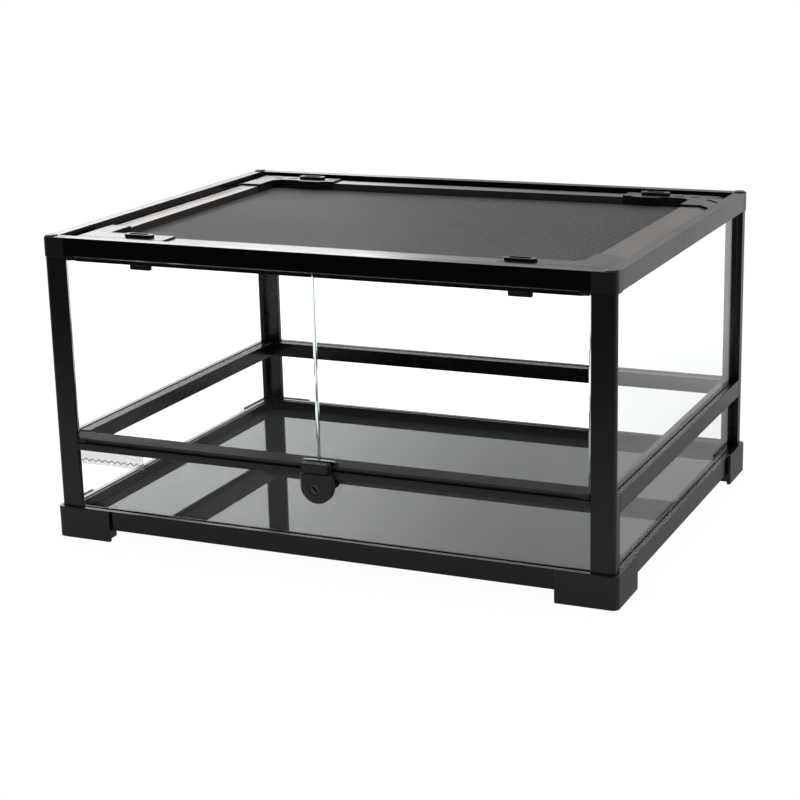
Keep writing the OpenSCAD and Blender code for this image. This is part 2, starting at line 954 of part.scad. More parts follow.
// skirt under both arms' inner edges, down to just over the mesh
module plate_skirt() {
  translate([lid_in, lid_in, mesh_top + mesh_gap])
    linear_extrude(height = plate_top - mesh_top - mesh_gap) {
      square([plate_long - lid_in, skirt_t]);
      square([skirt_t, plate_side - lid_in]);
    }
}

module plate_lobe() {
  translate([latch_at + latch_travel / 2, lid_in - 1, lid_top])
    linear_extrude(height = plate_t)
      polygon([
        [-lobe_base / 2, 0],
        [lobe_base / 2, 0],
        [lobe_base / 2, 1],
        [lobe_tip / 2, 1 + lobe_out],
        [-lobe_tip / 2, 1 + lobe_out],
        [-lobe_base / 2, 1]
      ]);
}

module lid_corner(diag, rear) {
  difference() {
    union() {
      plate_skirt();
      if (rear)
        plate_lobe();
      intersection() {
        union() {
          plate_arm(plate_long);
          mirror([1, -1, 0]) plate_arm(plate_side);
        }
        translate([plate_from, plate_from, 0])
          linear_extrude(height = frame_h)
            corner_square(big, lid_r - plate_edge);
      }
      if (diag > 0)
        translate([lid_in, lid_in, lid_top])
          linear_extrude(height = plate_t)
            polygon([
              [0, 0],
              [diag, 0],
              [0, diag]
            ]);
    }
    translate([latch_at + (latch_travel - stem_slot_l) / 2, stem_from - latch_gap, 0])
      cube([stem_slot_l, stem_slot_w, big]);
    if (rear) {
      for (i = [0, 1])
        translate([port_at + i * port_pitch, latch_in, 0])
          cylinder(h = big, r = port_r + plug_gap, $fn = 64);
      translate([plate_from - 1, notch_at, 0])
        cube([notch_w + 1, notch_l, big]);
    }
  }
}

module port_caps() {
  for (i = [0, 1])
    translate([port_at + i * port_pitch, latch_in, lid_top])
      cylinder(h = plate_t + port_up, r = port_r, $fn = 64);
}

module latch(ledge_bottom) {
  tab_z = ledge_bottom - tab_down;
  tab_top = lid_z - latch_gap;
  hook_top = ledge_bottom - hook_gap;
  difference() {
    translate([0, 0, slider_z])
      linear_extrude(height = slider_t)
        stadium(slider_l, slider_w);
    translate([0, 0, slider_z + slider_t - thumb_depth])
      linear_extrude(height = big)
        stadium(thumb_l, thumb_w);
  }
  translate([-latch_stem_l / 2, -latch_stem_t / 2, tab_top - 1])
    cube([latch_stem_l, latch_stem_t, slider_z - tab_top + 1.5]);
  translate([0, -latch_stem_t / 2, 0])
    rotate([90, 0, 180])
      linear_extrude(height = latch_stem_t)
        polygon([
          [-tab_w / 2, tab_top],
          [tab_w / 2, tab_top],
          [tab_w / 2, tab_z + tab_bevel],
          [tab_w / 2 - tab_bevel, tab_z],
          [-tab_w / 2 + tab_bevel, tab_z],
          [-tab_w / 2, tab_z + tab_bevel]
        ]);
  translate([-hook_w / 2, hook_from - latch_in, hook_top - hook_t])
    cube([hook_w, hook_reach + 1, hook_t]);
}

module mesh_sheet() {
  difference() {
    square([mesh_w, mesh_d], center = true);
    for (i = [0 : mesh_nx - 1])
      for (j = [0 : mesh_ny - 1])
        translate([
          -mesh_w / 2 + mesh_strand + i * mesh_cx,
          -mesh_d / 2 + mesh_strand + j * mesh_cy
        ])
          square([mesh_cx - mesh_strand, mesh_cy - mesh_strand]);
  }
}

// ---- sub-parts ----
module foot_front_left() {
  color(black) at_corner(-1, -1) foot();
}

module foot_front_right() {
  color(black) at_corner(1, -1) foot();
}

module foot_rear_left() {
  color(black) at_corner(-1, 1) foot();
}

module foot_rear_right() {
  color(black) at_corner(1, 1) foot();
}

module bottom_rail_front() {
  color(dark)
    intersection() {
      at_front() bottom_rail(frame_w);
      bottom_corner_cut();
    }
}

module bottom_rail_rear() {
  color(dark)
    intersection() {
      at_rear() bottom_rail(frame_w);
      bottom_corner_cut();
    }
}

module bottom_rail_left() {
  color(dark)
    intersection() {
      at_left() bottom_rail(frame_d);
      bottom_corner_cut();
    }
}

module bottom_rail_right() {
  color(dark)
    intersection() {
      at_right() bottom_rail(frame_d);
      bottom_corner_cut();
    }
}

module floor_pane() {
  color(clear_glass)
    translate([-half_w + floor_edge, front + floor_edge, floor_z])
      cube([frame_w - 2 * floor_edge, frame_d - 2 * floor_edge, floor_t]);
}

module pane_front_lower() {
  color(clear_glass) at_front() pane(between, low_pane_z, front_pane_top);
}

module pane_rear_lower() {
  color(clear_glass) at_rear() pane(between, low_pane_z, low_pane_top);
}

module pane_left_lower() {
  color(clear_glass) at_left() pane(frame_d / 2 - pane_start, low_pane_z, low_pane_top);
}

module pane_right_lower() {
  color(clear_glass) at_right() pane(frame_d / 2 - pane_start, low_pane_z, low_pane_top);
}

module mid_rail_front() {
  color(dark) at_front() mid_front();
}

module mid_rail_rear() {
  color(dark) at_rear() mid_rear();
}

module mid_rail_left() {
  color(dark) at_left() mid_side(true);
}

module mid_rail_right() {
  color(dark) at_right() mid_side(false);
}

module post_front_left() {
  color(black) at_corner(-1, -1) front_post();
}

module post_front_right() {
  color(black) at_corner(1, -1) front_post();
}

module post_rear_left() {
  color(black) at_corner(-1, 1) rear_post();
}

module post_rear_right() {
  color(black) at_corner(1, 1) rear_post();
}

module pane_rear_upper() {
  color(clear_glass) at_rear() pane(between, up_pane_z, up_pane_top);
}

module pane_left_upper() {
  color(clear_glass) at_left() pane(frame_d / 2 - pane_start, up_pane_z, up_pane_top);
}

module pane_right_upper() {
  color(clear_glass) at_right() pane(frame_d / 2 - pane_start, up_pane_z, up_pane_top);
}

module top_rail_front() {
  color(dark) at_front() top_front();
}

module top_rail_rear() {
  color(dark) at_rear() top_rear();
}

module top_rail_left() {
  color(dark) at_left() top_side();
}

module top_rail_right() {
  color(dark) at_right() top_side();
}

module top_corner_front_left() {
  color(black) at_corner(-1, -1) top_corner();
}

module top_corner_front_right() {
  color(black) at_corner(1, -1) top_corner();
}

module top_corner_rear_left() {
  color(black) at_corner(-1, 1) top_corner();
}

module top_corner_rear_right() {
  color(black) at_corner(1, 1) top_corner();
}

module corner_plugs() {
  color(dark)
    for (sx = [-1, 1])
      for (sy = [-1, 1])
        at_corner(sx, sy) corner_plug();
}

module door_left() {
  color(clear_glass) at_front() door();
}

module door_right() {
  color(clear_glass) mirror([1, 0, 0]) at_front() door();
}

module hinge_shoes_left() {
  color(black) at_front() hinge_shoe_pair();
}

module hinge_shoes_right() {
  color(black) mirror([1, 0, 0]) at_front() hinge_shoe_pair();
}

module lock_housing() {
  color(black) at_front() lock_housing_shape();
}

module lock_cap() {
  color(black) at_front() lock_cap_shape();
}

module lock_cylinder() {
  color(metal) at_front() lock_cylinder_shape();
}

module lock_back_plate() {
  color(dark) at_front() lock_back_plate_shape();
}

module lid_bar_front() {
  color(satin)
    difference() {
      intersection() {
        at_front() lid_bar(frame_w);
        lid_prism();
      }
      at_front() stem_slots();
    }
}

module lid_bar_rear() {
  color(satin)
    difference() {
      intersection() {
        at_rear() lid_bar(frame_w);
        lid_prism();
      }
      at_rear() stem_slots();
    }
}

module lid_bar_left() {
  color(satin)
    intersection() {
      at_left() lid_bar(frame_d);
      lid_prism();
    }
}

module lid_bar_right() {
  color(satin)
    intersection() {
      at_right() lid_bar(frame_d);
      lid_prism();
    }
}

module lid_corner_front_left() {
  color(black) at_corner(-1, -1) lid_corner(0, false);
}

module lid_corner_front_right() {
  color(black) at_corner(1, -1) lid_corner(plate_diag, false);
}

module lid_corner_rear_left() {
  color(black) at_corner(-1, 1) lid_corner(plate_diag, true);
}

module lid_corner_rear_right() {
  color(black) at_corner(1, 1) lid_corner(plate_diag, true);
}

module lid_mesh() {
  color(dark)
    translate([0, mid_y, mesh_z])
      linear_extrude(height = mesh_t)
        mesh_sheet();
}

module mesh_spline() {
  w = frame_w - 2 * spline_at;
  d = frame_d - 2 * spline_at;
  color(dark)
    translate([0, mid_y, spline_z])
      linear_extrude(height = mesh_z - spline_z)
        difference() {
          square([w, d], center = true);
          square([w - 2 * spline_w, d - 2 * spline_w], center = true);
        }
}

module lid_port_caps() {
  color(dark)
    for (sx = [-1, 1])
      at_corner(sx, 1) port_caps();
}

module latch_front_left() {
  color(dark) at_front() latch_place(-1, 0) latch(stop_z);
}

module latch_front_right() {
  color(dark) at_front() latch_place(1, latch_travel) latch(stop_z);
}

module latch_rear_left() {
  color(dark) at_rear() latch_place(1, 0) latch(side_fascia_z);
}

module latch_rear_right() {
  color(dark) at_rear() latch_place(-1, 0) latch(side_fascia_z);
}

module level_film() {
  color(metal)
    at_front()
      translate([-half_w + post_reach, pane_out - film_t, front_mid_z - film_gap - film_h])
        cube([film_w, film_t, film_h]);
}

foot_front_left();
foot_front_right();
foot_rear_left();
foot_rear_right();
bottom_rail_front();
bottom_rail_rear();
bottom_rail_left();
bottom_rail_right();
floor_pane();
pane_front_lower();
pane_rear_lower();
pane_left_lower();
pane_right_lower();
mid_rail_front();
mid_rail_rear();
mid_rail_left();
mid_rail_right();
post_front_left();
post_front_right();
post_rear_left();
post_rear_right();
pane_rear_upper();
pane_left_upper();
pane_right_upper();
top_rail_front();
top_rail_rear();
top_rail_left();
top_rail_right();
top_corner_front_left();
top_corner_front_right();
top_corner_rear_left();
top_corner_rear_right();
corner_plugs();
door_left();
door_right();
hinge_shoes_left();
hinge_shoes_right();
lock_housing();
lock_cap();
lock_cylinder();
lock_back_plate();
lid_bar_front();
lid_bar_rear();
lid_bar_left();
lid_bar_right();
lid_corner_front_left();
lid_corner_front_right();
lid_corner_rear_left();
lid_corner_rear_right();
lid_mesh();
mesh_spline();
lid_port_caps();
latch_front_left();
latch_front_right();
latch_rear_left();
latch_rear_right();
level_film();
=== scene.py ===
"""Looks of a glass reptile terrarium with swinging front doors and a mesh lid.

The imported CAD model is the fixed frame. Every rail, post, foot, pane, lock and
lid piece is rebuilt on it with softened edges and its own finish, and a small
white studio is set round it. Lengths are in metres and angles in radians, unless
a name says otherwise.
"""

import logging
import math
from dataclasses import dataclass, field
from enum import Enum

import bmesh
import bpy
from mathutils import Matrix, Vector


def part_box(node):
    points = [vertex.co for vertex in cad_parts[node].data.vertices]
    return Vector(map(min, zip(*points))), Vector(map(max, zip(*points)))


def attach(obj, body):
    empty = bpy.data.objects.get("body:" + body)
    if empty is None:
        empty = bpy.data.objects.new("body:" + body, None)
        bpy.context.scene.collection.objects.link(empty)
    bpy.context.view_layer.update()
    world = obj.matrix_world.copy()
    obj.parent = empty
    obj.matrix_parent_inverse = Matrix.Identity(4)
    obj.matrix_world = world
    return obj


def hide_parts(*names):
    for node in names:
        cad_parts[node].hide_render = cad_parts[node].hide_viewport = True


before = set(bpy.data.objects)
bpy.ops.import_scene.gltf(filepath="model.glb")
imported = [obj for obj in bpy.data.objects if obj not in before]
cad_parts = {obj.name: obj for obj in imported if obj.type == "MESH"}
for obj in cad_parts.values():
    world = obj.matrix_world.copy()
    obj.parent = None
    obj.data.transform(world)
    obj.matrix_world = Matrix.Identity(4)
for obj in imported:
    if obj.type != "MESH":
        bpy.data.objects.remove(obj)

MM = 0.001
ENDS = ("front", "rear")
SIDES = ("left", "right")
Colour = tuple[float, float, float]
Point = tuple[float, float, float]
Span = tuple[float, float]
log = logging.getLogger("terrarium")


class Axis(Enum):
    """A main direction of the object."""

    X = 0
    Y = 1
    Z = 2


class Slot(Enum):
    """A material slot of the record."""

    FRAME = "frame_plastic"
    RAIL = "rail_plastic"
    TRIM = "trim_plastic"
    LOCK = "lock_plastic"
    KEY = "lock_metal"
    LID = "lid_metal"
    MESH = "mesh_metal"
    CORD = "spline_rubber"
    FILM = "film"
    GLASS = "glass"


# ---------------------------------------------------------------- materials


class NodeBoard:
    """A new material's node tree, with short calls to add and join nodes."""

    noise_range: Span = (0.3, 0.7)
    noise_roughness: float = 0.6

    def __init__(self, name: str) -> None:
        """Starts an empty tree.

        Args:
            name: the material's name.
        """
        self.material = bpy.data.materials.new(name)
        self.material.use_nodes = True
        self.tree = self.material.node_tree
        self.tree.nodes.clear()
        self.output = self.tree.nodes.new("ShaderNodeOutputMaterial")

    def add(self, kind: str, **settings: object) -> bpy.types.Node:
        """Adds a node.

        Args:
            kind: the node's type name without its "ShaderNode" start.
            **settings: properties to set on it.

        Returns:
            The new node.
        """
        node = self.tree.nodes.new("ShaderNode" + kind)
        for key, value in settings.items():
            setattr(node, key, value)
        return node

    def join(self, source: bpy.types.NodeSocket, target: bpy.types.NodeSocket) -> None:
        """Links an output socket to an input socket."""
        self.tree.links.new(source, target)

    def surface(self, source: bpy.types.NodeSocket) -> None:
        """Makes a shader the material's surface."""
        self.join(source, self.output.inputs["Surface"])

    def place(self, scale: Point = (1.0, 1.0, 1.0)) -> bpy.types.NodeSocket:
        """Object coordinates, stretched.

        Args:
            scale: factor along each axis.

        Returns:
            The vector socket.
        """
        coords = self.add("TexCoord")
        mapping = self.add("Mapping")
        mapping.inputs["Scale"].default_value = scale
        self.join(coords.outputs["Object"], mapping.inputs["Vector"])
        return mapping.outputs["Vector"]

    def noise(self, vector: bpy.types.NodeSocket, scale: float, detail: float = 3.0) -> bpy.types.NodeSocket:
        """A noise pattern.

        Args:
            vector: where it is read.
            scale: its frequency, in waves a metre.
            detail: octaves.

        Returns:
            The factor socket, 0 to 1.
        """
        node = self.add("TexNoise")
        node.inputs["Scale"].default_value = scale
        node.inputs["Detail"].default_value = detail
        node.inputs["Roughness"].default_value = self.noise_roughness
        self.join(vector, node.inputs["Vector"])
        return node.outputs["Fac"]

    def spread(self, source: bpy.types.NodeSocket, low: float, high: float) -> bpy.types.NodeSocket:
        """Moves the range that a noise mostly fills to another one.

        Args:
            source: the noise.
            low: result at the range's low end.
            high: result at its high end.

        Returns:
            The new value socket.
        """
        node = self.add("MapRange")
        for name, value in zip(("From Min", "From Max", "To Min", "To Max"), (*self.noise_range, low, high)):
            node.inputs[name].default_value = value
        self.join(source, node.inputs["Value"])
        return node.outputs["Result"]

    def blend(self, source: bpy.types.NodeSocket, first: Colour, second: Colour) -> bpy.types.NodeSocket:
        """A colour between two colours.

        Args:
            source: the factor.
            first: colour at 0.
            second: colour at 1.

        Returns:
            The colour socket.
        """
        node = self.add("Mix", data_type="RGBA")
        ends = [socket for socket in node.inputs if socket.type == "RGBA"]
        ends[0].default_value = (*first, 1.0)
        ends[1].default_value = (*second, 1.0)
        self.join(source, node.inputs["Factor"])
        return next(socket for socket in node.outputs if socket.type == "RGBA")

    def bump(self, height: bpy.types.NodeSocket, depth: float, strength: float) -> bpy.types.NodeSocket:
        """A bumped normal.

        Args:
            height: 0 to 1 height.
            depth: metres that a full step of height stands for.
            strength: share of the effect.

        Returns:
            The normal socket.
        """
        node = self.add("Bump")
        node.inputs["Distance"].default_value = depth
        node.inputs["Strength"].default_value = strength
        self.join(height, node.inputs["Height"])
        return node.outputs["Normal"]


@dataclass(frozen=True)
class SatinPlastic:
    """Black plastic or coating with a fine grain and faint draw lines."""

    name: str
    colour: Colour
    worn: Colour
    roughness: float
    grain: float = 900.0
    depth: float = 0.04 * MM
    along: Axis | None = None
    metallic: float = 0.0
    specular: float = 0.5
    gloss_tint: Colour = (1.0, 0.90, 0.97)
    line_stretch: float = 0.03
    line_share: float = 0.6
    cloud_scale: float = 9.0
    uneven: float = 0.05
    bump_share: float = 0.6

    def material(self) -> bpy.types.Material:
        """Builds the material.

        Returns:
            The material.
        """
        board = NodeBoard(self.name)
        stretch = [1.0, 1.0, 1.0]
        if self.along is not None:
            stretch[self.along.value] = self.line_stretch
        even = board.place()
        drawn = board.place(tuple(stretch))
        grain = board.noise(even, self.grain, 2.0)
        lines = board.noise(drawn, self.grain * self.line_share, 2.0)
        clouds = board.noise(even, self.cloud_scale, 4.0)
        shader = board.add("BsdfPrincipled")
        shader.inputs["Metallic"].default_value = self.metallic
        shader.inputs["Specular IOR Level"].default_value = self.specular
        shader.inputs["Specular Tint"].default_value = (*self.gloss_tint, 1.0)
        tone = board.spread(clouds, 0.0, 1.0)
        board.join(board.blend(tone, self.colour, self.worn), shader.inputs["Base Color"])
        height = board.add("Math", operation="ADD")
        board.join(grain, height.inputs[0])
        board.join(lines, height.inputs[1])
        rough = board.spread(clouds, self.roughness - self.uneven, self.roughness + self.uneven)
        board.join(rough, shader.inputs["Roughness"])
        bumped = board.bump(height.outputs[0], self.depth, self.bump_share)
        board.join(bumped, shader.inputs["Normal"])
        board.surface(shader.outputs["BSDF"])
        return board.material


@dataclass(frozen=True)
class ClearGlass:
    """Float glass that lets the lamps through."""

    name: str
    tint: Colour
    roughness: float = 0.0
    ior: float = 1.5
    haze_scale: float = 5.0
    haze_share: float = 0.985

    def material(self) -> bpy.types.Material:
        """Builds the material.

        Returns:
            The material.
        """
        board = NodeBoard(self.name)
        haze = board.noise(board.place(), self.haze_scale)
        shader = board.add("BsdfPrincipled")
        shader.inputs["Transmission Weight"].default_value = 1.0
        shader.inputs["IOR"].default_value = self.ior
        shader.inputs["Roughness"].default_value = self.roughness
        deeper = tuple(c * self.haze_share for c in self.tint)
        tone = board.spread(haze, 0.0, 1.0)
        board.join(board.blend(tone, self.tint, deeper), shader.inputs["Base Color"])
        through = board.add("BsdfTransparent")
        through.inputs["Color"].default_value = (*self.tint, 1.0)
        path = board.add("LightPath")
        mix = board.add("MixShader")
        board.join(path.outputs["Is Shadow Ray"], mix.inputs[0])
        board.join(shader.outputs["BSDF"], mix.inputs[1])
        board.join(through.outputs["BSDF"], mix.inputs[2])
        board.surface(mix.outputs["Shader"])
        return board.material


@dataclass(frozen=True)
class SmokedGlass:
    """The floor's dark grey glass, nearly opaque with a mirror-like top."""

    name: str
    colour: Colour
    roughness: float = 0.004
    rougher: float = 3.0
    ior: float = 1.52
    cloud_scale: float = 3.0
    deep_share: float = 0.9

    def material(self) -> bpy.types.Material:
        """Builds the material.

        Returns:
            The material.
        """
        board = NodeBoard(self.name)
        clouds = board.noise(board.place(), self.cloud_scale)
        shader = board.add("BsdfPrincipled")
        shader.inputs["IOR"].default_value = self.ior
        deeper = tuple(c * self.deep_share for c in self.colour)
        tone = board.spread(clouds, 0.0, 1.0)
        board.join(board.blend(tone, self.colour, deeper), shader.inputs["Base Color"])
        rough = board.spread(clouds, self.roughness, self.roughness * self.rougher)
        board.join(rough, shader.inputs["Roughness"])
        board.surface(shader.outputs["BSDF"])
        return board.material


@dataclass(frozen=True)
class ZigzagFilm:
    """A translucent film with one plain zigzag line."""

    name: str
    line_z: float
    pitch: float = 3.8 * MM
    height: float = 2.6 * MM
    width: float = 0.55 * MM
    film_cover: float = 0.22
    line_cover: float = 0.7
    roughness: float = 0.35
    film_colour: Colour = (0.74, 0.76, 0.76)
    line_colour: Colour = (0.22, 0.22, 0.23)

    def line(self, board: NodeBoard) -> bpy.types.NodeSocket:
        """Draws the zigzag in the film's plane.

        Args:
            board: the film's nodes.

        Returns:
            A socket that is 1 on the line and 0 off it.
        """
        coords = board.add("TexCoord")
        parts = board.add("SeparateXYZ")
        board.join(coords.outputs["Object"], parts.inputs["Vector"])
        wave = board.add("Math", operation="PINGPONG")
        wave.inputs[1].default_value = self.pitch
        board.join(parts.outputs["X"], wave.inputs[0])
        rise = board.add("Math", operation="MULTIPLY_ADD")
        rise.inputs[1].default_value = self.height / self.pitch
        rise.inputs[2].default_value = self.line_z
        board.join(wave.outputs[0], rise.inputs[0])
        gap = board.add("Math", operation="SUBTRACT")
        board.join(parts.outputs["Z"], gap.inputs[0])
        board.join(rise.outputs[0], gap.inputs[1])
        away = board.add("Math", operation="ABSOLUTE")
        board.join(gap.outputs[0], away.inputs[0])
        line = board.add("Math", operation="LESS_THAN")
        line.inputs[1].default_value = self.width
        board.join(away.outputs[0], line.inputs[0])
        return line.outputs[0]

    def material(self) -> bpy.types.Material:
        """Builds the material.

        Returns:
            The material.
        """
        board = NodeBoard(self.name)
        line = self.line(board)
        shader = board.add("BsdfPrincipled")
        shader.inputs["Roughness"].default_value = self.roughness
        tone = board.blend(line, self.film_colour, self.line_colour)
        board.join(tone, shader.inputs["Base Color"])
        cover = board.add("MapRange")
        cover.inputs["To Min"].default_value = self.film_cover
        cover.inputs["To Max"].default_value = self.line_cover
        board.join(line, cover.inputs["Value"])
        board.join(cover.outputs["Result"], shader.inputs["Alpha"])
        board.surface(shader.outputs["BSDF"])
        return board.material


class Finishes:
    """Every finish of the terrarium, each made once."""

    def __init__(self) -> None:
        """Makes the materials."""
        self.frame_finishes()
        self.lid_finishes()
        self.glass_finishes()

    def frame_finishes(self) -> None:
        """Makes the black plastics of the frame and the lock, and the dark key."""
        self.rail = {
            axis: SatinPlastic(
                f"black_rail_{axis.name.lower()}",
                colour=(0.0018, 0.0016, 0.0019),
                worn=(0.0028, 0.0025, 0.0029),
                roughness=0.24,
                along=axis,
            ).material()
            for axis in (Axis.X, Axis.Y)
        }
        # Lit and shaded copies of the rail's black plastic: the paler copy on the front middle rail's face
        # is a painted reflection, and the darker copy on its top is painted shade.
        self.low_rail_painted_shade = SatinPlastic(
            "front_middle_rail_painted_shade",
            colour=(0.0060, 0.0056, 0.0059),
            worn=(0.0080, 0.0075, 0.0079),
            roughness=0.32,
            along=Axis.X,
            specular=0.03,
        ).material()
        self.low_rail_face_painted_reflection = SatinPlastic(
            "front_middle_rail_face_painted_reflection",
            colour=(0.085, 0.079, 0.083),
            worn=(0.100, 0.093, 0.098),
            roughness=0.32,
            along=Axis.X,
            specular=0.2,
        ).material()
        self.post = SatinPlastic(
            "black_post",
            colour=(0.020, 0.019, 0.020),
            worn=(0.026, 0.025, 0.026),
            roughness=0.30,
            along=Axis.Z,
        ).material()
        self.moulded = SatinPlastic(
            "black_moulded",
            colour=(0.030, 0.028, 0.029),
            worn=(0.038, 0.036, 0.037),
            roughness=0.34,
            grain=1400.0,
        ).material()
        self.lock = SatinPlastic(
            "black_lock",
            colour=(0.034, 0.031, 0.031),
            worn=(0.042, 0.039, 0.039),
            roughness=0.33,
            grain=1100.0,
        ).material()
        self.key = SatinPlastic(
            "dark_key",
            colour=(0.060, 0.058, 0.057),
            worn=(0.110, 0.107, 0.104),
            roughness=0.16,
            grain=600.0,
            metallic=0.9,
        ).material()

    def lid_finishes(self) -> None:
        """Makes the lid's coated bars, textured plates, wires and cord."""
        self.lid = {
            axis: SatinPlastic(
                f"lid_bar_{axis.name.lower()}",
                colour=(0.100, 0.090, 0.083),
                worn=(0.125, 0.113, 0.105),
                roughness=0.30,
                depth=0.02 * MM,
                along=axis,
                metallic=0.5,
                gloss_tint=(1.0, 0.965, 0.94),
            ).material()
            for axis in (Axis.X, Axis.Y)
        }
        self.textured = SatinPlastic(
            "black_textured",
            colour=(0.010, 0.0096, 0.010),
            worn=(0.015, 0.0145, 0.015),
            roughness=0.31,
            grain=700.0,
            depth=0.06 * MM,
        ).material()
        # The warp wires' pale colour is a painted sheen, standing in for the softbox's highlight on black
        # wire tops; the weft keeps the wire's own black.
        wires = {
            "mesh_warp_painted_sheen": ((0.360, 0.352, 0.364), (0.390, 0.381, 0.394)),
            "mesh_weft": ((0.010, 0.0097, 0.010), (0.014, 0.0136, 0.014)),
        }
        self.warp, self.weft = (
            SatinPlastic(
                name, colour=colour, worn=worn, roughness=0.5, grain=500.0, depth=0.01 * MM, specular=0.08
            ).material()
            for name, (colour, worn) in wires.items()
        )
        self.cord = SatinPlastic(
            "holding_cord",
            colour=(0.0040, 0.0040, 0.0040),
            worn=(0.0070, 0.0070, 0.0070),
            roughness=0.5,
        ).material()

    def glass_finishes(self) -> None:
        """Makes the clear panes' faces and edges and the floor's dark glass."""
        pale = (0.980, 0.992, 0.993)
        self.glass = ClearGlass("clear_glass", pale, ior=1.3).material()
        self.side_glass = ClearGlass("side_glass", pale, ior=1.5).material()
        self.edge = ClearGlass("glass_edge", (0.66, 0.79, 0.76), roughness=0.12, ior=1.3).material()
        self.floor = SmokedGlass("floor_glass", (0.060, 0.068, 0.072)).material()


# ------------------------------------------------------------------- meshes


def cad_copy(node: str) -> bmesh.types.BMesh:
    """Copies a CAD node's mesh, with its triangles merged into whole faces.

    Args:
        node: the CAD node's name.

    Returns:
        The copy.
    """
    merge_gap = 0.01 * MM
    flat_degrees = 0.8
    bm = bmesh.new()
    bm.from_mesh(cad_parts[node].data)
    bmesh.ops.remove_doubles(bm, verts=bm.verts, dist=merge_gap)
    bmesh.ops.dissolve_limit(
        bm,
        angle_limit=math.radians(flat_degrees),
        use_dissolve_boundaries=False,
        verts=bm.verts,
        edges=bm.edges,
    )
    return bm


def soften(bm: bmesh.types.BMesh, edges: list[bmesh.types.BMEdge], width: float, segments: int) -> None:
    """Bevels edges.

    Args:
        bm: the mesh.
        edges: the edges.
        width: the bevel's offset.
        segments: its steps.
    """
    bmesh.ops.bevel(
        bm,
        geom=edges,
        offset=width,
        offset_type="OFFSET",
        segments=segments,
        profile=0.5,
        affect="EDGES",
        clamp_overlap=True,
        material=-1,
    )


def finished_object(name: str, bm: bmesh.types.BMesh) -> bpy.types.Object:
    """Turns a bmesh into an object in the scene.

    Args:
        name: the object's name.
        bm: the mesh, which is freed.

    Returns:
        The object.
    """
    mesh = bpy.data.meshes.new(name)
    bm.to_mesh(mesh)
    bm.free()
    piece = bpy.data.objects.new(name, mesh)
    bpy.context.collection.objects.link(piece)
    return piece


def dress(piece: bpy.types.Object, body: str, node: str, slot: Slot, *materials: bpy.types.Material) -> None:
    """Gives a piece its materials and body, and hides the CAD node it stands for.

    Args:
        piece: the new object.
        body: the body it rides on.
        node: the CAD node it stands for.
        slot: the record's slot; not used.
        *materials: materials in slot order.
    """
    for material in materials:
        piece.data.materials.append(material)
    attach(piece, body)
    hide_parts(node)
    log.info("%s on %s, %d faces", piece.name, body, len(piece.data.polygons))


@dataclass(frozen=True)
class SoftCopy:
    """Copies a CAD node's shape with softened edges."""

    width: float = 0.5 * MM
    segments: int = 2
    sharp_degrees: float = 28.0
    shaded_degrees: float = 50.0
    face_weight: int = 90

    def build(self, node: str) -> bpy.types.Object:
        """Makes the copy.

        Args:
            node: the CAD node's name.

        Returns:
            The new object, at the origin with its place in its mesh.
        """
        bm = cad_copy(node)
        limit = math.radians(self.sharp_degrees)
        sharp = [e for e in bm.edges if e.is_manifold and e.calc_face_angle(0.0) > limit]
        soften(bm, sharp, self.width, self.segments)
        for face in bm.faces:
            face.smooth = True
        shaded = math.radians(self.shaded_degrees)
        for edge in bm.edges:
            edge.smooth = edge.is_manifold and edge.calc_face_angle(0.0) < shaded
        piece = finished_object(f"{node}_soft", bm)
        weigh = piece.modifiers.new("flat_faces", "WEIGHTED_NORMAL")
        weigh.keep_sharp = True
        weigh.weight = self.face_weight
        return piece


@dataclass(frozen=True)
class Pane:
    """A flat pane with ground edges."""

    thin: Axis
    arris: float = 0.25 * MM
    corner_turn: float = 1.0
    face_share: float = 0.95

    def build(self, node: str) -> bpy.types.Object:
        """Makes the pane in its CAD node's box.

        Args:
            node: the CAD node's name.

        Returns:
            The pane, with its edge faces in the second slot.
        """
        low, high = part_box(node)
        bm = bmesh.new()
        bmesh.ops.create_cube(bm, size=1.0)
        bmesh.ops.scale(bm, vec=high - low, verts=bm.verts)
        bmesh.ops.translate(bm, vec=(low + high) / 2, verts=bm.verts)
        self.grind(bm)
        return finished_object(f"{node}_glass", bm)

    def grind(self, bm: bmesh.types.BMesh) -> None:
        """Grinds the edges and puts all but the two broad faces in the second slot.

        Args:
            bm: the pane's mesh.
        """
        corners = [e for e in bm.edges if e.calc_face_angle(0.0) > self.corner_turn]
        soften(bm, corners, self.arris, 1)
        for face in bm.faces:
            face.material_index = 0 if abs(face.normal[self.thin.value]) > self.face_share else 1


# ------------------------------------------------------------- sub-assemblies


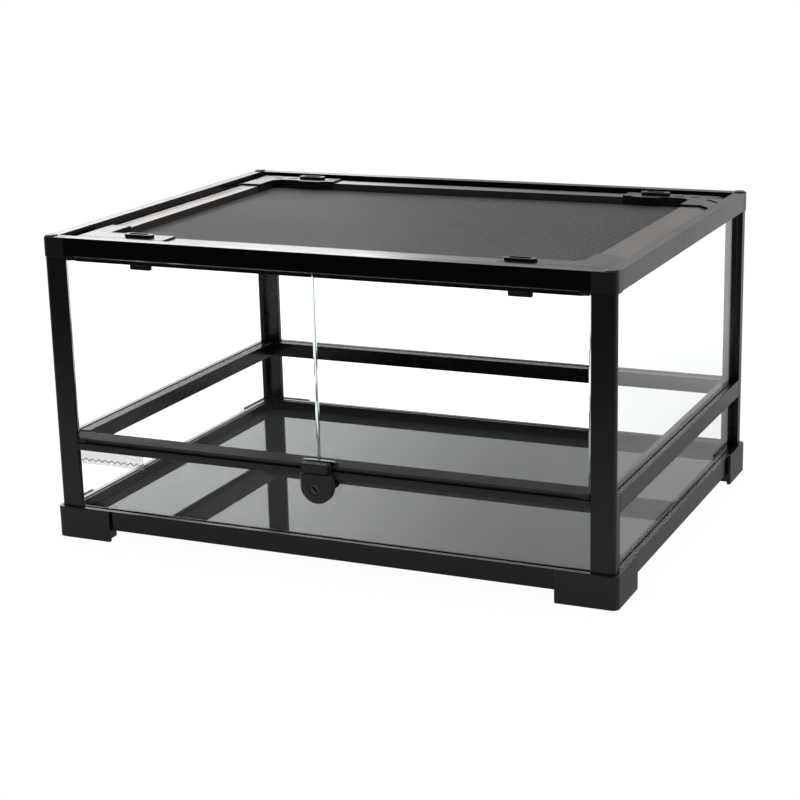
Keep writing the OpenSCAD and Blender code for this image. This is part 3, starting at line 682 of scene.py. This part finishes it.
@dataclass
class FrameShell:
    """Feet, rails, posts, corner pieces and plugs."""

    finishes: Finishes
    body: str = "tank"
    rail_edge: float = 0.5 * MM
    foot_edge: float = 1.0 * MM
    foot_steps: int = 3
    corner_edge: float = 0.5 * MM
    plug_edge: float = 0.2 * MM
    plug_sharp: float = 40.0
    # Faces of the front middle rail turned further forward than this take the painted reflection.
    painted_reflection_turn: float = -0.7
    levels: tuple[str, ...] = ("bottom", "mid", "top")

    def build(self) -> None:
        """Builds every piece of the frame."""
        for level in self.levels:
            for end in ENDS:
                self.rail(f"{level}_rail_{end}", Axis.X)
        for level in self.levels:
            for side in SIDES:
                self.rail(f"{level}_rail_{side}", Axis.Y)
        for end in ENDS:
            for side in SIDES:
                self.corner(f"{end}_{side}")
        plugs = SoftCopy(self.plug_edge, sharp_degrees=self.plug_sharp).build("corner_plugs")
        dress(plugs, self.body, "corner_plugs", Slot.TRIM, self.finishes.moulded)

    def rail(self, node: str, axis: Axis) -> None:
        """Builds a rail.

        Args:
            node: the CAD node's name.
            axis: the direction it runs in.
        """
        rail = SoftCopy(self.rail_edge).build(node)
        finishes = [self.finishes.rail[axis]]
        # The front middle rail's forward faces take the paler copy as a painted reflection, and its other
        # faces take the darker copy as painted shade.
        if node == "mid_rail_front":
            finishes = [self.finishes.low_rail_painted_shade, self.finishes.low_rail_face_painted_reflection]
            for face in rail.data.polygons:
                face.material_index = int(face.normal.y < self.painted_reflection_turn)
        dress(rail, self.body, node, Slot.RAIL, *finishes)

    def corner(self, corner: str) -> None:
        """Builds the foot, the post and the top piece of one corner.

        Args:
            corner: its end and side, as the CAD nodes name them.
        """
        foot, post, top = f"foot_{corner}", f"post_{corner}", f"top_corner_{corner}"
        dress(SoftCopy(self.rail_edge).build(post), self.body, post, Slot.RAIL, self.finishes.post)
        block = SoftCopy(self.foot_edge, self.foot_steps).build(foot)
        dress(block, self.body, foot, Slot.FRAME, self.finishes.moulded)
        dress(SoftCopy(self.corner_edge).build(top), self.body, top, Slot.FRAME, self.finishes.moulded)


@dataclass
class Glazing:
    """The fixed panes and the floor."""

    finishes: Finishes
    body: str = "tank"
    floor_arris: float = 0.6 * MM
    film_arris: float = 0.03 * MM
    film_line_share: float = 0.22
    panes: dict[str, Axis] = field(
        default_factory=lambda: {
            "pane_front_lower": Axis.Y,
            "pane_rear_lower": Axis.Y,
            "pane_rear_upper": Axis.Y,
            "pane_left_lower": Axis.X,
            "pane_left_upper": Axis.X,
            "pane_right_lower": Axis.X,
            "pane_right_upper": Axis.X,
        }
    )

    def build(self) -> None:
        """Builds the panes, the floor and the film on the front pane."""
        for node, thin in self.panes.items():
            clear = self.finishes.side_glass if "right" in node else self.finishes.glass
            dress(Pane(thin).build(node), self.body, node, Slot.GLASS, clear, self.finishes.edge)
        floor = Pane(Axis.Z, self.floor_arris).build("floor_pane")
        dark = self.finishes.floor
        dress(floor, self.body, "floor_pane", Slot.GLASS, dark, dark)
        low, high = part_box("level_film")
        print_z = low.z + self.film_line_share * (high.z - low.z)
        print_finish = ZigzagFilm("level_film_print", print_z).material()
        film = Pane(Axis.Y, self.film_arris).build("level_film")
        dress(film, self.body, "level_film", Slot.FILM, print_finish, print_finish)


@dataclass
class Doors:
    """The two swinging leaves and their hinge shoes."""

    finishes: Finishes
    arris: float = 0.5 * MM
    shoe_edge: float = 0.4 * MM

    def build(self) -> None:
        """Builds both leaves."""
        for side in SIDES:
            body, node, shoes = f"door_{side}_leaf", f"door_{side}", f"hinge_shoes_{side}"
            dress(self.leaf(node), body, node, Slot.GLASS, self.finishes.glass, self.finishes.edge)
            dress(SoftCopy(self.shoe_edge).build(shoes), body, shoes, Slot.TRIM, self.finishes.moulded)

    def leaf(self, node: str) -> bpy.types.Object:
        """Makes a leaf with its cut-out.

        Args:
            node: the CAD node's name.

        Returns:
            The leaf.
        """
        bm = cad_copy(node)
        Pane(Axis.Y, self.arris).grind(bm)
        return finished_object(f"{node}_glass", bm)


@dataclass
class Lock:
    """The cylinder lock on the front middle rail."""

    finishes: Finishes
    case_edge: float = 0.8 * MM
    case_steps: int = 3
    plate_edge: float = 0.5 * MM
    key_edge: float = 0.35 * MM
    key_share: float = 0.985

    def build(self) -> None:
        """Builds the housing, cap, key cylinder and back plate."""
        case = SoftCopy(self.case_edge, self.case_steps)
        dark = self.finishes.lock
        dress(case.build("lock_housing"), "tank", "lock_housing", Slot.LOCK, dark)
        dress(case.build("lock_cap"), "cap", "lock_cap", Slot.LOCK, dark)
        dress(self.key(), "key_cylinder", "lock_cylinder", Slot.KEY, self.finishes.key)
        plate = SoftCopy(self.plate_edge).build("lock_back_plate")
        dress(plate, "tank", "lock_back_plate", Slot.LOCK, dark)

    def key(self) -> bpy.types.Object:
        """Makes the key cylinder, drawn in about its axis to turn clear of the bore's facets.

        Returns:
            The key cylinder.
        """
        low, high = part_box("lock_cylinder")
        centre = (low + high) / 2
        key = SoftCopy(self.key_edge).build("lock_cylinder")
        for vertex in key.data.vertices:
            for i in (Axis.X.value, Axis.Z.value):
                vertex.co[i] = centre[i] + (vertex.co[i] - centre[i]) * self.key_share
        return key


@dataclass
class Lid:
    """The lift-off lid: bars, corner plates, wire cloth, cord and caps.

    The warp is drawn wider apart than on the real cloth, so that its lines show at
    the photograph's size.
    """

    finishes: Finishes
    body: str = "lid"
    bar_edge: float = 0.5 * MM
    plate_edge: float = 0.5 * MM
    cord_edge: float = 0.4 * MM
    cap_edge: float = 0.6 * MM
    cap_steps: int = 3
    warp: float = 1.1 * MM
    warp_pitch: float = 2.6 * MM
    weft: float = 0.5 * MM
    weft_pitch: float = 1.7 * MM
    wire_height: float = 0.34 * MM
    sink: Span = (0.5, 0.9)

    def build(self) -> None:
        """Builds the lid."""
        for axis, sides in ((Axis.X, ENDS), (Axis.Y, SIDES)):
            for side in sides:
                self.soft(f"lid_bar_{side}", SoftCopy(self.bar_edge), Slot.LID, self.finishes.lid[axis])
        for end in ENDS:
            for side in SIDES:
                plate = SoftCopy(self.plate_edge)
                self.soft(f"lid_corner_{end}_{side}", plate, Slot.TRIM, self.finishes.textured)
        dress(self.cloth(), self.body, "lid_mesh", Slot.MESH, self.finishes.warp, self.finishes.weft)
        self.soft("mesh_spline", SoftCopy(self.cord_edge), Slot.CORD, self.finishes.cord)
        caps = SoftCopy(self.cap_edge, self.cap_steps)
        self.soft("lid_port_caps", caps, Slot.TRIM, self.finishes.textured)

    def soft(self, node: str, copy: SoftCopy, slot: Slot, finish: bpy.types.Material) -> None:
        """Builds one soft-edged piece of the lid.

        Args:
            node: the CAD node's name.
            copy: how its edges are softened.
            slot: the record's slot.
            finish: its material.
        """
        dress(copy.build(node), self.body, node, slot, finish)

    def cloth(self) -> bpy.types.Object:
        """Makes the fine wire cloth in the mesh's place.

        Returns:
            The cloth, with its weft wires in the second slot.
        """
        low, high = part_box("lid_mesh")
        size, centre = high - low, (low + high) / 2
        bm = bmesh.new()
        layers = ((0, self.warp, self.warp_pitch), (1, self.weft, self.weft_pitch))
        for across, width, pitch in layers:
            count = int((size[across] - self.warp) / pitch)
            level = high.z - self.wire_height * self.sink[across]
            for i in range(count + 1):
                span = [width, width, self.wire_height]
                span[1 - across] = size[1 - across]
                spot = Vector((centre.x, centre.y, level))
                spot[across] = centre[across] + (i - count / 2) * pitch
                matrix = Matrix.Translation(spot) @ Matrix.Diagonal((*span, 1.0))
                made = bmesh.ops.create_cube(bm, size=1.0, matrix=matrix)["verts"]
                for face in {face for vert in made for face in vert.link_faces}:
                    face.material_index = across
        return finished_object("wire_cloth", bm)


@dataclass
class Latches:
    """The four sliding latches of the lid."""

    finishes: Finishes
    edge: float = 0.5 * MM
    steps: int = 3

    def build(self) -> None:
        """Builds the latches."""
        copy = SoftCopy(self.edge, self.steps)
        for end in ENDS:
            for side in SIDES:
                body, node = f"{end}_{side}_latch", f"latch_{end}_{side}"
                dress(copy.build(node), body, node, Slot.TRIM, self.finishes.moulded)


# ------------------------------------------------------------------- studio

# How much brighter the white ground shows through the panes, to make up for what they take.
THROUGH_GLASS = 1.4
# How bright the side that the camera stands on is in a reflection.
DARK_AHEAD = 0.03


@dataclass(frozen=True)
class Softbox:
    """An area lamp that aims at the object."""

    name: str
    place: Point
    aim: Point
    size: tuple[float, float]
    radiance: float

    def build(self) -> None:
        """Makes the lamp, whose watts are its radiance times pi and its area."""
        lamp = bpy.data.lights.new(self.name, "AREA")
        lamp.shape = "RECTANGLE"
        lamp.size, lamp.size_y = self.size
        lamp.energy = self.radiance * math.pi * self.size[0] * self.size[1]
        thing = bpy.data.objects.new(self.name, lamp)
        thing.location = self.place
        way = Vector(self.aim) - Vector(self.place)
        thing.rotation_euler = way.to_track_quat("-Z", "Y").to_euler()
        thing.visible_camera = False
        thing.visible_transmission = False
        bpy.context.collection.objects.link(thing)


class Sight:
    """Tells what the eye sees from what only lights the scene, in one node tree.

    Three sockets, each 0 or 1: seen is what the eye meets straight, in a mirror or
    through glass; mirrored is the part of it met after a reflection; through is
    the part met through glass without one.
    """

    def __init__(self, tree: bpy.types.NodeTree) -> None:
        """Adds the light path and its switches.

        Args:
            tree: the tree that asks.
        """
        self.tree = tree
        path = tree.nodes.new("ShaderNodeLightPath")
        direct = self.math("LESS_THAN", path.outputs["Diffuse Depth"], 0.5)
        either = self.math("MAXIMUM", path.outputs["Is Camera Ray"], path.outputs["Is Glossy Ray"])
        either = self.math("MAXIMUM", either, path.outputs["Is Transmission Ray"])
        self.seen = self.math("MULTIPLY", either, direct)
        turned = self.math("GREATER_THAN", path.outputs["Glossy Depth"], 0.5)
        self.mirrored = self.math("MULTIPLY", turned, self.seen)
        crossed = self.math("MULTIPLY", path.outputs["Is Transmission Ray"], direct)
        self.through = self.math("SUBTRACT", crossed, self.math("MULTIPLY", crossed, turned))

    def math(
        self, operation: str, first: bpy.types.NodeSocket | float, second: bpy.types.NodeSocket | float
    ) -> bpy.types.NodeSocket:
        """Adds a Math node.

        Args:
            operation: its operation.
            first: its first value or socket.
            second: its second value or socket.

        Returns:
            Its result.
        """
        node = self.tree.nodes.new("ShaderNodeMath")
        node.operation = operation
        for socket, value in zip(node.inputs, (first, second)):
            self.give(socket, value)
        return node.outputs[0]

    def give(self, socket: bpy.types.NodeSocket, value: bpy.types.NodeSocket | float) -> None:
        """Sets or links an input.

        Args:
            socket: the input.
            value: a number to set, or a socket to link.
        """
        if isinstance(value, float):
            socket.default_value = value
        else:
            self.tree.links.new(value, socket)

    def ramp(self, source: bpy.types.NodeSocket, span: Span, ends: Span) -> bpy.types.NodeSocket:
        """A smooth step between two values.

        Args:
            source: the value to read.
            span: where the step starts and ends.
            ends: the result before and after it.

        Returns:
            The result.
        """
        node = self.tree.nodes.new("ShaderNodeMapRange")
        node.interpolation_type = "SMOOTHSTEP"
        for name, value in zip(("From Min", "From Max", "To Min", "To Max"), (*span, *ends)):
            node.inputs[name].default_value = value
        self.tree.links.new(source, node.inputs["Value"])
        return node.outputs["Result"]

    def pick(
        self,
        switch: bpy.types.NodeSocket,
        off: bpy.types.NodeSocket | float,
        on: bpy.types.NodeSocket | float,
    ) -> bpy.types.NodeSocket:
        """Chooses between two values.

        Args:
            switch: 0 to 1.
            off: the result at 0.
            on: the result at 1.

        Returns:
            The result.
        """
        more = self.math("SUBTRACT", on, off)
        part = self.math("MULTIPLY", more, switch)
        return self.math("ADD", part, off)


@dataclass(frozen=True)
class StudioFloor:
    """The plain pale floor, toned by place where the glass mirrors it: painted shade ahead of the object and
    a painted shadow near it.
    """

    reach: float = 20.0
    paint: float = 0.86
    glow: float = 1.15
    glow_share: float = 0.85
    ahead: float = 0.45
    painted_shadow_near: float = 0.36
    far: float = 0.72
    ahead_y: Span = (-0.85, -0.62)
    under_y: Span = (-0.34, -0.22)
    far_from: Span = (0.32, 1.0)

    def mirrored_level(
        self, sight: Sight, x: bpy.types.NodeSocket, y: bpy.types.NodeSocket
    ) -> bpy.types.NodeSocket:
        """The floor's level in a reflection: dark ahead of the object as painted shade, darker near it as a
        painted shadow, and paler away from it.

        Args:
            sight: the floor's switches.
            x: the place along X.
            y: the place along Y.

        Returns:
            The level.
        """
        ahead = sight.ramp(y, self.ahead_y, (DARK_AHEAD, self.ahead))
        away = sight.math("MAXIMUM", x, y)
        painted_shadow_near = sight.ramp(away, self.far_from, (self.painted_shadow_near, self.far))
        behind = sight.ramp(y, self.under_y, (0.0, 1.0))
        return sight.pick(behind, ahead, painted_shadow_near)

    def build(self) -> None:
        """Makes the floor."""
        bm = bmesh.new()
        bmesh.ops.create_grid(bm, x_segments=1, y_segments=1, size=self.reach)
        floor = finished_object("studio_floor", bm)
        board = NodeBoard("studio_floor_paint")
        sight = Sight(board.tree)
        parts = board.add("SeparateXYZ")
        board.join(board.place(), parts.inputs["Vector"])
        mirrored = self.mirrored_level(sight, parts.outputs["X"], parts.outputs["Y"])
        level = sight.pick(sight.mirrored, 1.0, mirrored)
        tone = board.add("CombineXYZ")
        pale = sight.math("MULTIPLY", level, self.paint)
        for socket in tone.inputs:
            board.join(pale, socket)
        diffuse = board.add("BsdfDiffuse")
        board.join(tone.outputs[0], diffuse.inputs["Color"])
        glow = board.add("Emission")
        strength = sight.pick(sight.through, self.glow, self.glow * THROUGH_GLASS)
        board.join(sight.math("MULTIPLY", strength, level), glow.inputs["Strength"])
        mix = board.add("MixShader")
        board.join(sight.math("MULTIPLY", sight.seen, self.glow_share), mix.inputs[0])
        board.join(diffuse.outputs["BSDF"], mix.inputs[1])
        board.join(glow.outputs["Emission"], mix.inputs[2])
        board.surface(mix.outputs["Shader"])
        floor.data.materials.append(board.material)


@dataclass(frozen=True)
class StudioWorld:
    """The white surround, darker ahead of the object for what isn't seen straight."""

    plain_light: float = 0.55
    plain_ahead: float = 0.10
    gloss_back: float = 1.15
    gloss_left: float = 2.2
    gloss_low: float = 0.25
    behind_y: Span = (-0.25, 0.35)
    raised_z: Span = (0.145, 0.215)
    left_x: Span = (-0.50, -0.33)
    left_z: Span = (0.21, 0.27)

    def build(self) -> None:
        """Makes the world."""
        world = bpy.data.worlds.new("studio_world")
        bpy.context.scene.world = world
        world.use_nodes = True
        tree = world.node_tree
        tree.nodes.clear()
        output = tree.nodes.new("ShaderNodeOutputWorld")
        background = tree.nodes.new("ShaderNodeBackground")
        sight = Sight(tree)
        way = tree.nodes.new("ShaderNodeTexCoord")
        parts = tree.nodes.new("ShaderNodeSeparateXYZ")
        tree.links.new(way.outputs["Generated"], parts.inputs["Vector"])
        behind = sight.ramp(parts.outputs["Y"], self.behind_y, (0.0, 1.0))
        raised = sight.ramp(parts.outputs["Z"], self.raised_z, (self.gloss_low, self.gloss_back))
        leftward = sight.ramp(parts.outputs["X"], self.left_x, (self.gloss_left, 1.0))
        high = sight.ramp(parts.outputs["Z"], self.left_z, (0.0, 1.0))
        raised = sight.math("MULTIPLY", raised, sight.pick(high, 1.0, leftward))
        gloss = sight.pick(behind, DARK_AHEAD, raised)
        plain = sight.pick(behind, self.plain_ahead, self.plain_light)
        direct = sight.pick(sight.through, 1.0, THROUGH_GLASS)
        looked = sight.pick(sight.mirrored, direct, gloss)
        strength = sight.pick(sight.seen, plain, looked)
        tree.links.new(strength, background.inputs["Strength"])
        tree.links.new(background.outputs["Background"], output.inputs["Surface"])


@dataclass(frozen=True)
class PhotoCamera:
    """The camera at the photograph's place, fitted to the frame's straight edges."""

    place: Point = (0.80165, -1.79329, 0.65515)
    yaw: float = 0.4268
    pitch: float = 0.2686
    roll: float = -0.0247
    lens_mm: float = 86.05
    sensor_mm: float = 36.0

    def build(self) -> None:
        """Makes the camera."""
        data = bpy.data.cameras.new("photo_camera")
        data.lens = self.lens_mm
        data.sensor_width = self.sensor_mm
        thing = bpy.data.objects.new("photo_camera", data)
        bpy.context.collection.objects.link(thing)
        level = math.cos(self.pitch)
        ahead = Vector((-math.sin(self.yaw) * level, math.cos(self.yaw) * level, -math.sin(self.pitch)))
        right = Vector((math.cos(self.yaw), math.sin(self.yaw), 0.0))
        up = right.cross(ahead)
        turn, tip = math.cos(self.roll), math.sin(self.roll)
        right, up = turn * right + tip * up, turn * up - tip * right
        turned = Matrix((right, up, -ahead)).transposed()
        thing.matrix_world = Matrix.Translation(self.place) @ turned.to_4x4()
        bpy.context.scene.camera = thing


@dataclass
class Studio:
    """Floor, world, lamps and camera."""

    softboxes: tuple[Softbox, ...] = (
        Softbox("back_left_box", (-1.75, 2.1, 1.15), (-0.2, 0.0, 0.3), (1.5, 0.8), 3.0),
        Softbox("top_box", (-0.2, -0.3, 2.3), (0.0, 0.0, 0.2), (1.8, 1.2), 0.9),
        Softbox("right_box", (2.4, 0.9, 1.0), (0.0, 0.0, 0.2), (1.2, 1.0), 0.5),
    )

    def build(self) -> None:
        """Sets up the studio."""
        for part in (StudioFloor(), StudioWorld(), *self.softboxes, PhotoCamera()):
            part.build()
        bpy.context.scene.view_settings.view_transform = "Standard"
        log.info("studio with %d lamps", len(self.softboxes))


def main() -> None:
    """Builds the scene."""
    logging.basicConfig(level=logging.INFO, format="%(name)s: %(message)s")
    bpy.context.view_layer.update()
    finishes = Finishes()
    Studio().build()
    for assembly in (
        FrameShell(finishes),
        Glazing(finishes),
        Doors(finishes),
        Lock(finishes),
        Lid(finishes),
        Latches(finishes),
    ):
        assembly.build()


if __name__ == "__main__":
    main()
